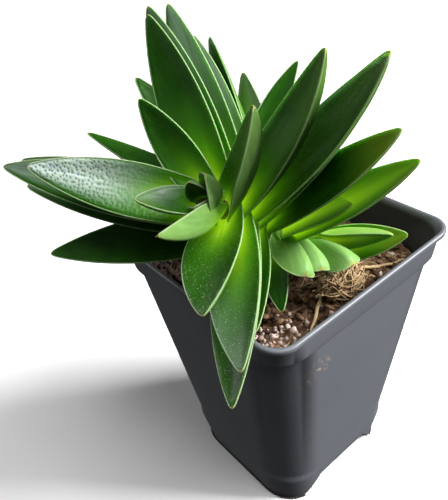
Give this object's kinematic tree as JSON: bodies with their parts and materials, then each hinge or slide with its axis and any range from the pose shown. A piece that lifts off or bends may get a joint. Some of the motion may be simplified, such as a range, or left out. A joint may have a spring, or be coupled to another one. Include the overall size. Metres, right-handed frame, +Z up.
{
  "type": "potted leafy succulent",
  "caption": "Leaning succulent with four ranks of thick pointed leaves, growing in coir soil in a square tapered plastic nursery pot.",
  "frame": {"origin": "middle of the pot's underside, at the level of its skirt's bottom edge", "axes": "+Z up; the pot's sides face -X, +X, -Y and +Y; the stem leans towards -X"},
  "size_m": [0.0933, 0.0866, 0.155],
  "materials": {
    "pot": "satin slate-grey moulded plastic",
    "soil": "matt coir and bark mix with grit",
    "leafy_stem": "waxy green leaf with pale margins",
    "dry_roots": "dry tan root fibre"
  },
  "bodies": {
    "root": {"pot": "pot", "soil": "soil", "leafy_stem": "leafy_stem", "dry_roots": "dry_roots"}
  },
  "joints": []
}
